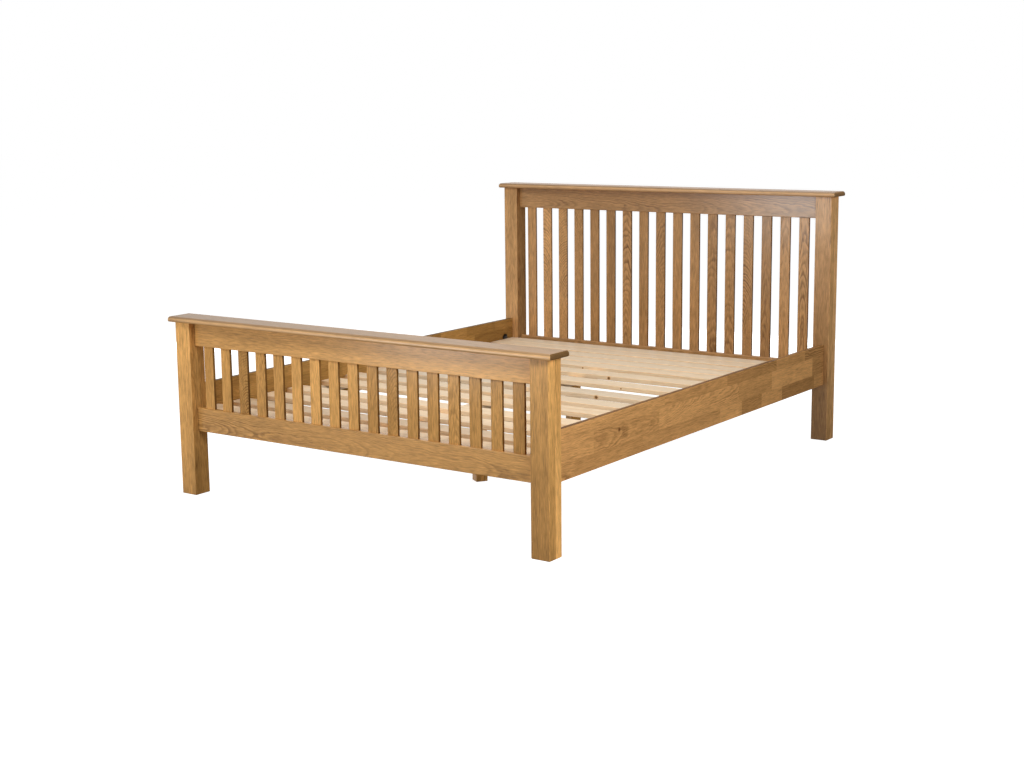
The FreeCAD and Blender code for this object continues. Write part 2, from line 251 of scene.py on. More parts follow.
class Sketch:
    """Short calls for wiring a node tree."""

    def __init__(self, tree: NodeTree) -> None:
        """Takes a tree to wire, and empties it."""
        self.tree = tree
        tree.nodes.clear()

    def add(self, kind: str, inputs: dict[Any, Any] | None = None, **settings: Any) -> Node:
        """Adds a node.

        Args:
            kind: The node's type.
            inputs: What feeds its sockets, by name or number: other sockets or plain values.
            settings: The node's own settings.

        Returns:
            The node.
        """
        node = self.tree.nodes.new(kind)
        for name, value in settings.items():
            setattr(node, name, value)
        for key, value in (inputs or {}).items():
            if isinstance(value, Socket):
                self.tree.links.new(value, node.inputs[key])
            else:
                node.inputs[key].default_value = value
        return node

    def math(self, operation: str, first: Any, second: Any) -> Socket:
        """A sum of two numbers, or another operation on them."""
        return self.add("ShaderNodeMath", {0: first, 1: second}, operation=operation).outputs[0]

    def less(self, number: Any) -> Socket:
        """What is left of 1 without a number."""
        return self.math("SUBTRACT", 1.0, number)

    def vector(self, operation: str, first: Any, second: Any) -> Socket:
        """A sum of two vectors, or another operation on them."""
        return self.add("ShaderNodeVectorMath", {0: first, 1: second}, operation=operation).outputs[0]

    def scale(self, vector: Any, factor: Any) -> Socket:
        """A vector or a colour times a number."""
        return self.add("ShaderNodeVectorMath", {0: vector, "Scale": factor}, operation="SCALE").outputs[0]

    def length(self, vector: Any) -> Socket:
        """The length of a vector."""
        return self.add("ShaderNodeVectorMath", {0: vector}, operation="LENGTH").outputs["Value"]

    def parts(self, vector: Socket) -> Sequence[Socket]:
        """The three numbers of a vector."""
        return self.add("ShaderNodeSeparateXYZ", {0: vector}).outputs

    def join(self, x: Any, y: Any, z: Any) -> Socket:
        """A vector from three numbers."""
        return self.add("ShaderNodeCombineXYZ", {0: x, 1: y, 2: z}).outputs[0]

    def read(self, name: str, output: str) -> Socket:
        """An attribute that a mesh carries, as a material reads it."""
        return self.add("ShaderNodeAttribute", attribute_name=name).outputs[output]

    def noise(self, place: Any, noise: Noise, output: str = "Fac") -> Socket:
        """Noise at a place."""
        inputs = {"Vector": self.vector("MULTIPLY", place, noise.stretch), "Scale": 1.0,
                  "Detail": noise.detail}
        return self.add("ShaderNodeTexNoise", inputs).outputs[output]

    def ease(self, value: Any, zero: float, one: float) -> Socket:
        """A smooth step from 0 to 1 between two values."""
        limits = {0: value, 1: zero, 2: one}
        return self.add("ShaderNodeMapRange", limits, interpolation_type="SMOOTHSTEP").outputs[0]

    def span(self, value: Any, least: float) -> Socket:
        """A value from 0 to 1, spread evenly from a least value up to 1."""
        return self.add("ShaderNodeMapRange", {0: value, 3: least, 4: 1.0}).outputs[0]

    def around(self, value: Any, reach: float) -> Socket:
        """A value from 0 to 1, spread evenly around 0."""
        return self.math("MULTIPLY", self.math("SUBTRACT", value, 0.5), reach)

    def blend(self, share: Any, first: Any, second: Any) -> Socket:
        """Two colours mixed."""
        return self.add("ShaderNodeMix", {0: share, 6: first, 7: second}, data_type="RGBA").outputs[2]

    def bump(self, height: Any, strength: float, distance: float) -> Socket:
        """A normal that follows a height."""
        inputs = {"Height": height, "Strength": strength, "Distance": distance}
        return self.add("ShaderNodeBump", inputs).outputs[0]

    def store(self, shape: Socket, name: str, kind: str, domain: str, value: Socket) -> Socket:
        """A shape in a geometry tree with an attribute written on it."""
        inputs = {"Geometry": shape, "Name": name, "Value": value}
        return self.add("GeometryNodeStoreNamedAttribute", inputs, data_type=kind, domain=domain).outputs[0]

    def recall(self, name: str, kind: str = "FLOAT") -> Socket:
        """An attribute of a shape, as a geometry tree reads it."""
        return self.add("GeometryNodeInputNamedAttribute", {"Name": name}, data_type=kind).outputs[0]


def new_material(name: str) -> tuple[Material, Sketch]:
    """Starts a material.

    Args:
        name: Its name.

    Returns:
        The material and its empty sketch.
    """
    material = bpy.data.materials.new(name)
    material.use_nodes = True
    return material, Sketch(material.node_tree)


@dataclass(frozen=True)
class Growth:
    """How a log grows, the same in every wood here.

    A pair says where something begins and where it is full: in its noise, or in radii from a knot's middle.
    The streaks are layers of noise, each with its strength.
    """

    sway: Noise = Noise((3.0, 3.0, 2.4), 1.0)
    sway_reach: float = 0.04
    ripple: Noise = Noise((40.0, 40.0, 20.0))
    ripple_reach: float = 0.006
    early_wood_full: float = 0.25
    early_wood_gone: float = 0.85
    faintest_year: float = 0.35
    clouds: Noise = Noise((10.0, 10.0, 1.6), 1.0)
    clear_rings: tuple[float, float] = (0.36, 0.62)
    faintest_rings: float = 0.4
    specks: Noise = Noise((480.0, 480.0, 22.0))
    open_pore: tuple[float, float] = (0.55, 0.63)
    late_wood_pores: float = 0.4
    streaks: Sequence[tuple[Noise, float]] = (
        (Noise((420.0, 420.0, 30.0)), 0.6),
        (Noise((190.0, 190.0, 26.0)), 0.8),
        (Noise((80.0, 80.0, 5.0)), 0.4),
        (Noise((30.0, 30.0, 2.0)), 0.4),
        (Noise((14.0, 14.0, 8.0), 3.0), 0.4))
    ragged: Noise = Noise((260.0, 260.0, 160.0))
    ragged_reach: float = 0.8
    knot_rim: tuple[float, float] = (2.2, 0.9)
    rim_depth: float = 0.7
    knot_core: tuple[float, float] = (1.2, 0.6)
    core_depth: float = 0.8
    core_colour: Colour = paint(104, 66, 38)
    pore_roughness: float = 0.1
    ring_height: float = -0.3
    pore_height: float = -0.7
    relief_reach: float = 0.0005


@dataclass(frozen=True)
class WoodFinish:
    """A wood: its colours, the rings, pores, streaks and knots of its log, and the gloss on it.

    Attributes:
        name: The material's name.
        pale: The dense late wood.
        dark: The open early wood.
        pore: The pores.
        ring_width: The width of a year's ring.
        ring_depth: How strongly the rings show.
        pore_depth: How strongly the pores show.
        streak_depth: How strongly streaks and clouds show.
        roughness: The roughness between the pores.
        shine: How much its polished faces reflect.
        richness: How much fuller the colour is a step of tone lower.
        swing: How many stops darker it is a step of tone lower; below 0 it is paler.
        knotty: Whether its sticks may have knots.
        relief: How deep its pores and rings feel.
        growth: How its log grew.
    """

    name: str
    pale: Colour
    dark: Colour
    pore: Colour
    ring_width: float
    ring_depth: float
    pore_depth: float
    streak_depth: float
    roughness: float
    shine: float
    richness: float = 0.06
    swing: float = 0.8
    knotty: bool = True
    relief: float = 0.1
    growth: Growth = Growth()

    def make(self) -> Material:
        """Builds the material.

        Returns:
            The material.
        """
        material, sketch = new_material(self.name)
        grain = sketch.read("grain", "Vector")
        tone, figure, shade = sketch.parts(sketch.read("piece", "Vector"))
        rings = self.rings(sketch, grain)
        pores = self.pores(sketch, grain, rings)
        drawn = sketch.math("MULTIPLY", sketch.math("MULTIPLY", rings, figure), self.ring_depth)
        colour = sketch.scale(sketch.blend(drawn, self.pale, self.dark), self.streaks(sketch, grain))
        colour = sketch.blend(sketch.math("MULTIPLY", pores, self.pore_depth), colour, self.pore)
        if self.knotty:
            colour = self.knots(sketch, grain, colour)
        # The third part of piece holds painted shade and painted light on tops, undersides and narrow faces,
        # and the flanks' own tone
        level = sketch.math("SUBTRACT", tone, shade)
        richer = sketch.less(sketch.math("MULTIPLY", level, self.richness))
        colour = sketch.add("ShaderNodeGamma", {"Color": colour, "Gamma": richer}).outputs[0]
        lightness = sketch.math("POWER", 2.0, sketch.math("MULTIPLY", level, self.swing))
        dull = sketch.math("MULTIPLY", pores, self.growth.pore_roughness)
        height = sketch.math("ADD", sketch.math("MULTIPLY", rings, self.growth.ring_height),
                             sketch.math("MULTIPLY", pores, self.growth.pore_height))
        surface = sketch.add("ShaderNodeBsdfPrincipled", {
            "Base Color": sketch.scale(colour, lightness),
            "Roughness": sketch.math("ADD", dull, self.roughness),
            "Normal": sketch.bump(height, self.relief, self.growth.relief_reach),
            "Specular IOR Level": sketch.math("MULTIPLY", sketch.read("gloss", "Fac"), self.shine)})
        sketch.add("ShaderNodeOutputMaterial", {"Surface": surface.outputs[0]})
        return material

    def rings(self, sketch: Sketch, grain: Socket) -> Socket:
        """Growth rings round the pith of a log that sways, clear in places and faint in others.

        Args:
            sketch: The material's sketch.
            grain: The place in the log.

        Returns:
            1 in the open early wood of a ring, 0 in its dense late wood.
        """
        growth = self.growth
        sway = sketch.vector("SUBTRACT", sketch.noise(grain, growth.sway, "Color"), (0.5, 0.5, 0.5))
        sway = sketch.vector("MULTIPLY", sway, (growth.sway_reach, growth.sway_reach, 0.0))
        flat = sketch.vector("MULTIPLY", sketch.vector("ADD", grain, sway), (1.0, 1.0, 0.0))
        ripple = sketch.around(sketch.noise(grain, growth.ripple), growth.ripple_reach)
        count = sketch.math("DIVIDE", sketch.math("ADD", sketch.length(flat), ripple), self.ring_width)
        phase = sketch.math("FRACT", count, 0.0)
        year = sketch.add("ShaderNodeTexWhiteNoise", {"W": sketch.math("FLOOR", count, 0.0)},
                          noise_dimensions="1D").outputs["Value"]
        early = sketch.math("MULTIPLY", sketch.ease(phase, 0.0, growth.early_wood_full),
                            sketch.ease(phase, growth.early_wood_gone, growth.early_wood_full))
        early = sketch.math("MULTIPLY", early, sketch.span(year, growth.faintest_year))
        clear = sketch.ease(sketch.noise(grain, growth.clouds), *growth.clear_rings)
        return sketch.math("MULTIPLY", early, sketch.span(clear, growth.faintest_rings))

    def pores(self, sketch: Sketch, grain: Socket, rings: Socket) -> Socket:
        """Short open pores along the fibres, most of them in the early wood."""
        specks = sketch.ease(sketch.noise(grain, self.growth.specks), *self.growth.open_pore)
        return sketch.math("MULTIPLY", specks, sketch.span(rings, self.growth.late_wood_pores))

    def streaks(self, sketch: Sketch, grain: Socket) -> Socket:
        """Lighter and darker streaks along the fibres, and slow changes over the stick.

        Args:
            sketch: The material's sketch.
            grain: The place in the log.

        Returns:
            How much lighter the wood is there, around 1.
        """
        total: Any = -sum(share for _, share in self.growth.streaks) / 2
        for noise, share in self.growth.streaks:
            total = sketch.math("ADD", sketch.math("MULTIPLY", sketch.noise(grain, noise), share), total)
        return sketch.math("ADD", sketch.math("MULTIPLY", total, self.streak_depth), 1.0)

    def knots(self, sketch: Sketch, grain: Socket, colour: Socket) -> Socket:
        """The knot that a stick may have, dark in the middle with a stained rim.

        Args:
            sketch: The material's sketch.
            grain: The place in the log.
            colour: The wood's colour without it.

        Returns:
            The colour with it.
        """
        growth = self.growth
        ragged = sketch.around(sketch.noise(grain, growth.ragged), growth.ragged_reach)
        away = sketch.math("ADD", sketch.length(sketch.read("knot", "Vector")), ragged)
        rim = sketch.math("MULTIPLY", sketch.ease(away, *growth.knot_rim), growth.rim_depth)
        core = sketch.math("MULTIPLY", sketch.ease(away, *growth.knot_core), growth.core_depth)
        return sketch.blend(core, sketch.blend(rim, colour, self.dark), growth.core_colour)


@dataclass(frozen=True)
class SteelFinish:
    """Zinc-plated steel with a fine uneven grain."""

    name: str
    bright: Colour
    dull: Colour
    roughness: float
    clouds: Noise = Noise((260.0, 260.0, 260.0), 3.0)
    clouded: tuple[float, float] = (0.3, 0.7)
    scratches: Noise = Noise((900.0, 2600.0, 2600.0))
    scratch_roughness: float = 0.15
    relief: float = 0.1
    scratch_depth: float = 0.0002

    def make(self) -> Material:
        """Builds the material.

        Returns:
            The material.
        """
        material, sketch = new_material(self.name)
        place = sketch.add("ShaderNodeTexCoord").outputs["Object"]
        clouds = sketch.ease(sketch.noise(place, self.clouds), *self.clouded)
        scratches = sketch.noise(place, self.scratches)
        rougher = sketch.math("MULTIPLY", scratches, self.scratch_roughness)
        surface = sketch.add("ShaderNodeBsdfPrincipled", {
            "Base Color": sketch.blend(clouds, self.bright, self.dull),
            "Roughness": sketch.math("ADD", self.roughness, rougher),
            "Metallic": 1.0,
            "Normal": sketch.bump(scratches, self.relief, self.scratch_depth)})
        sketch.add("ShaderNodeOutputMaterial", {"Surface": surface.outputs[0]})
        return material


class EndFinishes:
    """The materials of one end frame: its posts, its polished rails, its cap and its satin spindles."""

    def __init__(self, wood: WoodFinish, polish: float, satin: float, **cap: Any) -> None:
        """Makes them from one wood.

        Args:
            wood: The finish of the posts.
            polish: How much the rails reflect.
            satin: How much the spindles reflect.
            cap: What differs on the cap.
        """
        rails = replace(wood, name=f"{wood.name}_polished", streak_depth=0.8, shine=polish, relief=0.03)
        board = replace(wood, name=f"{wood.name}_cap", pore_depth=0.3, streak_depth=0.5, relief=0.0, **cap)
        self.posts = wood.make()
        self.rails = rails.make()
        self.cap = board.make()
        self.spindles = replace(wood, name=f"{wood.name}_satin", shine=satin).make()


class Finishes:
    """The materials of the bedstead, made once and shared."""

    def __init__(self) -> None:
        """Makes every material."""
        foot = WoodFinish(
            "oak_foot", paint(210, 158, 92), paint(128, 88, 46), paint(84, 56, 28), ring_width=0.0036,
            ring_depth=0.75, pore_depth=0.6, streak_depth=1.0, roughness=0.22, shine=0.12)
        head = replace(
            foot, name="oak_head", pale=paint(207, 159, 105), dark=paint(124, 87, 52), pore=paint(80, 55, 34),
            ring_width=0.0038, ring_depth=0.85, shine=0.2)
        staves = WoodFinish(
            "oak_staves", paint(212, 158, 98), paint(129, 88, 52), paint(84, 56, 30), ring_width=0.0029,
            ring_depth=0.75, pore_depth=0.5, streak_depth=0.7, roughness=0.35, shine=0.02)
        pine = WoodFinish(
            "pine", paint(234, 213, 184), paint(218, 177, 124), paint(205, 168, 122), ring_width=0.007,
            ring_depth=0.7, pore_depth=0.1, streak_depth=0.3, roughness=0.5, shine=0.2, richness=0.62,
            swing=-1.0)
        beech = WoodFinish(
            "beech", paint(205, 168, 126), paint(180, 138, 96), paint(140, 100, 66), ring_width=0.004,
            ring_depth=0.4, pore_depth=0.2, streak_depth=0.3, roughness=0.55, shine=0.3, knotty=False)
        self.foot = EndFinishes(
            foot, polish=0.2, satin=0.06, pale=paint(211, 166, 113), dark=paint(140, 104, 68),
            roughness=0.34, shine=0.38)
        self.head = EndFinishes(
            head, polish=0.32, satin=0.18, pale=paint(207, 164, 117), dark=paint(136, 102, 70),
            roughness=0.3, shine=0.3)
        self.right_staves = staves.make()
        self.left_staves = replace(staves, name="oak_staves_left", pale=paint(198, 152, 88)).make()
        self.pine = pine.make()
        self.beech = beech.make()
        # The zinc's colours are darker than bare zinc: painted shade for the washers and nuts that sit in the
        # pockets
        self.steel = SteelFinish("zinc_steel", paint(122, 124, 128), paint(78, 80, 84), roughness=0.36).make()


def eased_block(low: Vector, high: Vector, radius: float) -> BMesh:
    """A box with rounded edges.

    Args:
        low: Its lowest corner.
        high: Its highest corner.
        radius: The radius of the rounding.

    Returns:
        The box as an open mesh.
    """
    made = bmesh.new()
    bmesh.ops.create_cube(made, size=1.0)
    middle = (low + high) / 2
    size = high - low
    for vertex in made.verts:
        vertex.co = middle + Vector([vertex.co[i] * size[i] for i in range(3)])
    bmesh.ops.bevel(made, geom=list(made.edges), offset=radius, segments=EDGE_STEPS, profile=0.5,
                    affect="EDGES")
    return made


def cut_across(made: BMesh, point: Vector, axis: int,
               keep: Callable[[Vector], bool] = lambda face: True) -> None:
    """Scores a mesh along a plane, so that its faces can differ on the two sides of it.

    Args:
        made: The mesh.
        point: A point of the plane.
        axis: The axis that the plane is square to.
        keep: Which faces are scored, by their middles.
    """
    normal = Vector([float(i == axis) for i in range(3)])
    faces = [face for face in made.faces if keep(face.calc_center_median())]
    edges = list({edge for face in faces for edge in face.edges})
    corners = list({corner for face in faces for corner in face.verts})
    cut = corners + edges + faces
    bmesh.ops.bisect_plane(made, geom=cut, plane_co=point, plane_no=normal, dist=SAME_PLACE)


def close(made: BMesh, name: str) -> Mesh:
    """Turns an open mesh into a plain one.

    Args:
        made: The open mesh, which is freed.
        name: The plain mesh's name.

    Returns:
        The plain mesh.
    """
    mesh = bpy.data.meshes.new(name)
    made.to_mesh(mesh)
    made.free()
    return mesh


def new_object(name: str, data: ID) -> Object:
    """Puts a mesh, a camera or a lamp in the scene.

    Args:
        name: The object's name.
        data: What it shows.

    Returns:
        The object.
    """
    made = bpy.data.objects.new(name, data)
    bpy.context.scene.collection.objects.link(made)
    return made


def settle(made: Object) -> None:
    """Turns an object's modifiers into plain mesh, with soft normals on rounded edges only.

    Args:
        made: The object.
    """
    made.modifiers.new("even_normals", "WEIGHTED_NORMAL")
    graph = bpy.context.evaluated_depsgraph_get()
    plain = bpy.data.meshes.new_from_object(made.evaluated_get(graph))
    made.modifiers.clear()
    rough = made.data
    made.data = plain
    bpy.data.meshes.remove(rough)
    plain.name = made.name


def write_grain(mesh: Mesh, pick: Callable[[Vector], Stick]) -> None:
    """Writes on every face which stick it belongs to and where it lies in that stick's log.

    Args:
        mesh: The mesh.
        pick: The stick for a face, by the face's middle.
    """
    kinds = {"grain": "FLOAT_VECTOR", "knot": "FLOAT_VECTOR", "piece": "FLOAT_VECTOR", "gloss": "FLOAT"}
    for name, kind in kinds.items():
        mesh.attributes.new(name, kind, "CORNER")
    grain, knot, piece, gloss = (mesh.attributes[name].data for name in kinds)
    for face in mesh.polygons:
        stick = pick(face.center)
        for corner in face.loop_indices:
            point = mesh.vertices[mesh.loops[corner].vertex_index].co
            grain[corner].vector = stick.grain(point)
            knot[corner].vector = stick.from_knot(point)
            piece[corner].vector = (stick.tone(point), stick.look.figure, stick.shade(face.normal))
            gloss[corner].value = stick.gloss(face.normal)


def hand_over(made: Object, nodes: Sequence[str], body: str = FRAME_BODY) -> None:
    """Ties a piece to its body and the nodes that it stands for.

    Args:
        made: The piece.
        nodes: The nodes that it stands for.
        body: The body that it moves with.
    """
    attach(made, body)
    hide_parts(*nodes)
    LOG.info("%s: %d faces, stands for %d node(s)", made.name, len(made.data.polygons), len(nodes))


def timber(name: str, node: str, made: BMesh, finish: Material, pick: Callable[[Vector], Stick],
           body: str = FRAME_BODY, cutters: Sequence[Object] = ()) -> None:
    """Makes a finished wooden piece from an open mesh.

    Args:
        name: The piece's name.
        node: The node that it stands for.
        made: The open mesh, which is freed.
        finish: Its material.
        pick: The stick for a face, by the face's middle.
        body: The body that it moves with.
        cutters: Shapes that are cut out of it and then deleted.
    """
    mesh = close(made, name)
    mesh.shade_smooth()
    mesh.materials.append(finish)
    whole = new_object(name, mesh)
    for cutter in cutters:
        cut = whole.modifiers.new(cutter.name, "BOOLEAN")
        cut.object = cutter
        cut.solver = "EXACT"
    settle(whole)
    for cutter in cutters:
        bpy.data.objects.remove(cutter)
    write_grain(whole.data, pick)
    hand_over(whole, [node], body)


def islands(part: Object) -> list[Box]:
    """The boxes of the separate solids in one node.

    Args:
        part: The node's object.

    Returns:
        The lowest and highest corner of each solid.
    """
    copy = bmesh.new()
    copy.from_mesh(part.data)
    bmesh.ops.remove_doubles(copy, verts=copy.verts, dist=SAME_PLACE)
    left = set(copy.verts)
    boxes = []
    while left:
        front = [left.pop()]
        points = []
        while front:
            vertex = front.pop()
            points.append(vertex.co.copy())
            near = {edge.other_vert(vertex) for edge in vertex.link_edges} & left
            left -= near
            front.extend(near)
        low, high = (Vector([limit(point[i] for point in points) for i in range(3)]) for limit in (min, max))
        boxes.append((low, high))
    copy.free()
    return boxes


class StickRow:
    """Geometry Nodes that set an eased stick on each of a row of points."""

    looks: Sequence[str] = ("tone", "figure", "slope", "bow", "under")
    numbers: Sequence[str] = ("Width", "Thickness", "Length", "Edge Radius", "Painted Edge Light And Shade", "Knot Depth")

    def __init__(self) -> None:
        """Builds the tree once for every row."""
        self.tree = bpy.data.node_groups.new("stick_row", "GeometryNodeTree")
        self.names: dict[str, str] = {}
        kinds = {"Places": "Geometry", **dict.fromkeys(self.numbers, "Float"), "Steps": "Int",
                 "Turn": "Rotation", "Finish": "Material"}
        for name, kind in kinds.items():
            self.opening(name, kind, "INPUT")
        self.opening("Sticks", "Geometry", "OUTPUT")
        sketch = Sketch(self.tree)
        given = sketch.add("NodeGroupInput").outputs
        half = sketch.math("MULTIPLY", given["Length"], 0.5)
        stick = self.stick(sketch, given, half)
        row = sketch.add("GeometryNodeInstanceOnPoints", {
            "Points": given["Places"], "Instance": stick, "Rotation": given["Turn"]})
        real = sketch.add("GeometryNodeRealizeInstances", {"Geometry": row.outputs[0]}).outputs[0]
        told = self.told(sketch, given, half, real)
        painted = sketch.add("GeometryNodeSetMaterial", {"Geometry": told, "Material": given["Finish"]})
        sketch.add("NodeGroupOutput", {"Sticks": painted.outputs[0]})

    def opening(self, name: str, kind: str, way: str) -> None:
        """Adds a named input or output to the tree."""
        socket = self.tree.interface.new_socket(name, in_out=way, socket_type=f"NodeSocket{kind}")
        self.names[name] = socket.identifier

    def stick(self, sketch: Sketch, given: Any, half: Socket) -> Socket:
        """One stick: a rounded section along a line, with its narrow faces marked for their painted light and
        shade.

        Args:
            sketch: The tree's sketch.
            given: The tree's inputs.
            half: Half the stick's length.

        Returns:
            The stick.
        """
        section = sketch.add("GeometryNodeCurvePrimitiveQuadrilateral",
                             {"Width": given["Thickness"], "Height": given["Width"]})
        section = sketch.add("GeometryNodeFilletCurve", {
            "Curve": section.outputs[0], "Count": EDGE_STEPS, "Radius": given["Edge Radius"]}, mode="POLY")
        line = sketch.add("GeometryNodeCurvePrimitiveLine", {
            "Start": sketch.join(0.0, 0.0, sketch.math("MULTIPLY", half, -1.0)),
            "End": sketch.join(0.0, 0.0, half)})
        line = sketch.add("GeometryNodeResampleCurve", {"Curve": line.outputs[0], "Count": given["Steps"]})
        stick = sketch.add("GeometryNodeCurveToMesh", {
            "Curve": line.outputs[0], "Profile Curve": section.outputs[0], "Fill Caps": True}).outputs[0]
        place = sketch.add("GeometryNodeInputPosition").outputs[0]
        stick = sketch.store(stick, "inside", "FLOAT_VECTOR", "POINT", place)
        facing = sketch.parts(sketch.add("GeometryNodeInputNormal").outputs[0])
        narrow = sketch.math("GREATER_THAN", sketch.math("ABSOLUTE", facing[1], 0.0), FACE_LEAN)
        # The narrow faces get painted shade on the spindles' sides and painted light on the boards' edges
        shade = sketch.math("MULTIPLY", narrow, given["Painted Edge Light And Shade"])
        stick = sketch.store(stick, "edge", "FLOAT", "FACE", shade)
        return sketch.store(stick, "gloss", "FLOAT", "FACE", sketch.less(narrow))

    def told(self, sketch: Sketch, given: Any, half: Socket, real: Socket) -> Socket:
        """The row of sticks, bowed and told where each lies in its log.

        Args:
            sketch: The tree's sketch.
            given: The tree's inputs.
            half: Half the sticks' length.
            real: The straight sticks.

        Returns:
            The sticks with what their finish reads.
        """
        inside = sketch.recall("inside", "FLOAT_VECTOR")
        through, wide, along = sketch.parts(inside)
        lean = sketch.math("MULTIPLY", sketch.recall("slope"), along)
        grain = sketch.vector("ADD", sketch.vector("ADD", inside, sketch.recall("log", "FLOAT_VECTOR")),
                              sketch.join(lean, 0.0, 0.0))
        real = sketch.store(real, "grain", "FLOAT_VECTOR", "POINT", grain)
        share = sketch.math("DIVIDE", along, half)
        rise = sketch.less(sketch.math("MULTIPLY", share, share))
        rise = sketch.math("MULTIPLY", rise, sketch.recall("bow"))
        real = sketch.add("GeometryNodeSetPosition", {
            "Geometry": real, "Offset": sketch.join(0.0, 0.0, rise)}).outputs[0]
        knot_along, knot_across, radius = sketch.parts(sketch.recall("place_of_knot", "FLOAT_VECTOR"))
        way = sketch.vector("SUBTRACT", sketch.join(along, wide, through),
                            sketch.join(knot_along, knot_across, given["Knot Depth"]))
        radius = sketch.math("MAXIMUM", radius, LEAST_KNOT)
        knot = sketch.scale(way, sketch.math("DIVIDE", 1.0, radius))
        real = sketch.store(real, "knot", "FLOAT_VECTOR", "POINT", knot)
        # A stick's under adds to the painted light and shade on its narrow faces
        under = sketch.math("MULTIPLY", sketch.recall("under"), sketch.less(sketch.recall("gloss")))
        piece = sketch.join(sketch.recall("tone"), sketch.recall("figure"),
                            sketch.math("ADD", sketch.recall("edge"), under))
        return sketch.store(real, "piece", "FLOAT_VECTOR", "FACE", piece)

    def grow(self, name: str, sticks: Sequence[Stick], inputs: dict[str, Any]) -> Object:
        """Makes a row of sticks as one plain object.

        Args:
            name: The object's name.
            sticks: The sticks, with their middles as the points of the row.
            inputs: The tree's inputs, by name.

        Returns:
            The object.
        """
        points = bpy.data.meshes.new(name)
        points.from_pydata([stick.middle for stick in sticks], [], [])
        logs = points.attributes.new("log", "FLOAT_VECTOR", "POINT").name
        knots = points.attributes.new("place_of_knot", "FLOAT_VECTOR", "POINT").name
        for told in self.looks:
            points.attributes.new(told, "FLOAT", "POINT")
        for i, stick in enumerate(sticks):
            points.attributes[logs].data[i].vector = stick.log
            points.attributes[knots].data[i].vector = stick.look.knot
            for told in self.looks:
                points.attributes[told].data[i].value = getattr(stick.look, told)
        row = new_object(name, points)
        modifier = row.modifiers.new("sticks", "NODES")
        modifier.node_group = self.tree
        for key, value in inputs.items():
            modifier[self.names[key]] = value
        settle(row)
        row.data.shade_smooth()
        return row


@dataclass
class Cap:
    """The board along the top of an end frame, rounded over at its upper edge and eased at its lower one."""

    name: str
    finish: Material
    yard: TimberYard
    look: Look
    nose_radius: float = 0.012
    nose_steps: int = 6
    under_radius: float = 0.005
    under_steps: int = 3
    corner_radius: float = 0.007
    corner_steps: int = 4
    least_turn: float = 0.0008

    def profile(self, low: float, high: float) -> list[tuple[float, float]]:
        """The edge of the board from its underside to its top.

        Args:
            low: The height of the underside.
            high: The height of the top.

        Returns:
            How far in from the widest plan, and how high, each step of the edge is.
        """
        steps = []
        for i in range(self.under_steps + 1):
            turn = math.pi / 2 * i / self.under_steps
            rise = self.under_radius * (1 - math.cos(turn))
            steps.append((self.under_radius * (1 - math.sin(turn)), low + rise))
        for i in range(self.nose_steps + 1):
            turn = math.pi / 2 * i / self.nose_steps
            drop = self.nose_radius * (1 - math.sin(turn))
            steps.append((self.nose_radius * (1 - math.cos(turn)), high - drop))
        return steps

    def plan(self, low: Vector, high: Vector, inset: float) -> list[tuple[float, float]]:
        """The board's outline from above, with rounded corners.

        Args:
            low: The board's lowest corner.
            high: The board's highest corner.
            inset: How far in the outline is drawn.

        Returns:
            The outline's points, anticlockwise.
        """
        radius = max(self.corner_radius, inset + self.least_turn)
        reach = radius - inset
        corners = ((high.x, high.y, 1, 1), (low.x, high.y, -1, 1),
                   (low.x, low.y, -1, -1), (high.x, low.y, 1, -1))
        points = []
        for quarter, (x, y, way_x, way_y) in enumerate(corners):
            for i in range(self.corner_steps + 1):
                turn = math.pi / 2 * (quarter + i / self.corner_steps)
                points.append((x - way_x * radius + reach * math.cos(turn),
                               y - way_y * radius + reach * math.sin(turn)))
        return points

    def build(self) -> None:
        """Builds and dresses the cap."""
        low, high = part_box(self.name)
        made = bmesh.new()
        loops = [[made.verts.new((x, y, z)) for x, y in self.plan(low, high, inset)]
                 for inset, z in self.profile(low.z, high.z)]
        for under, over in zip(loops, loops[1:]):
            for i, corner in enumerate(under):
                j = (i + 1) % len(under)
                made.faces.new((corner, under[j], over[j], over[i]))
        made.faces.new(reversed(loops[0]))
        made.faces.new(loops[-1])
        stick = self.yard.stick((low + high) / 2, Lie.FLAT_ACROSS, self.look)
        timber(f"{self.name}_board", self.name, made, self.finish, lambda face: stick)


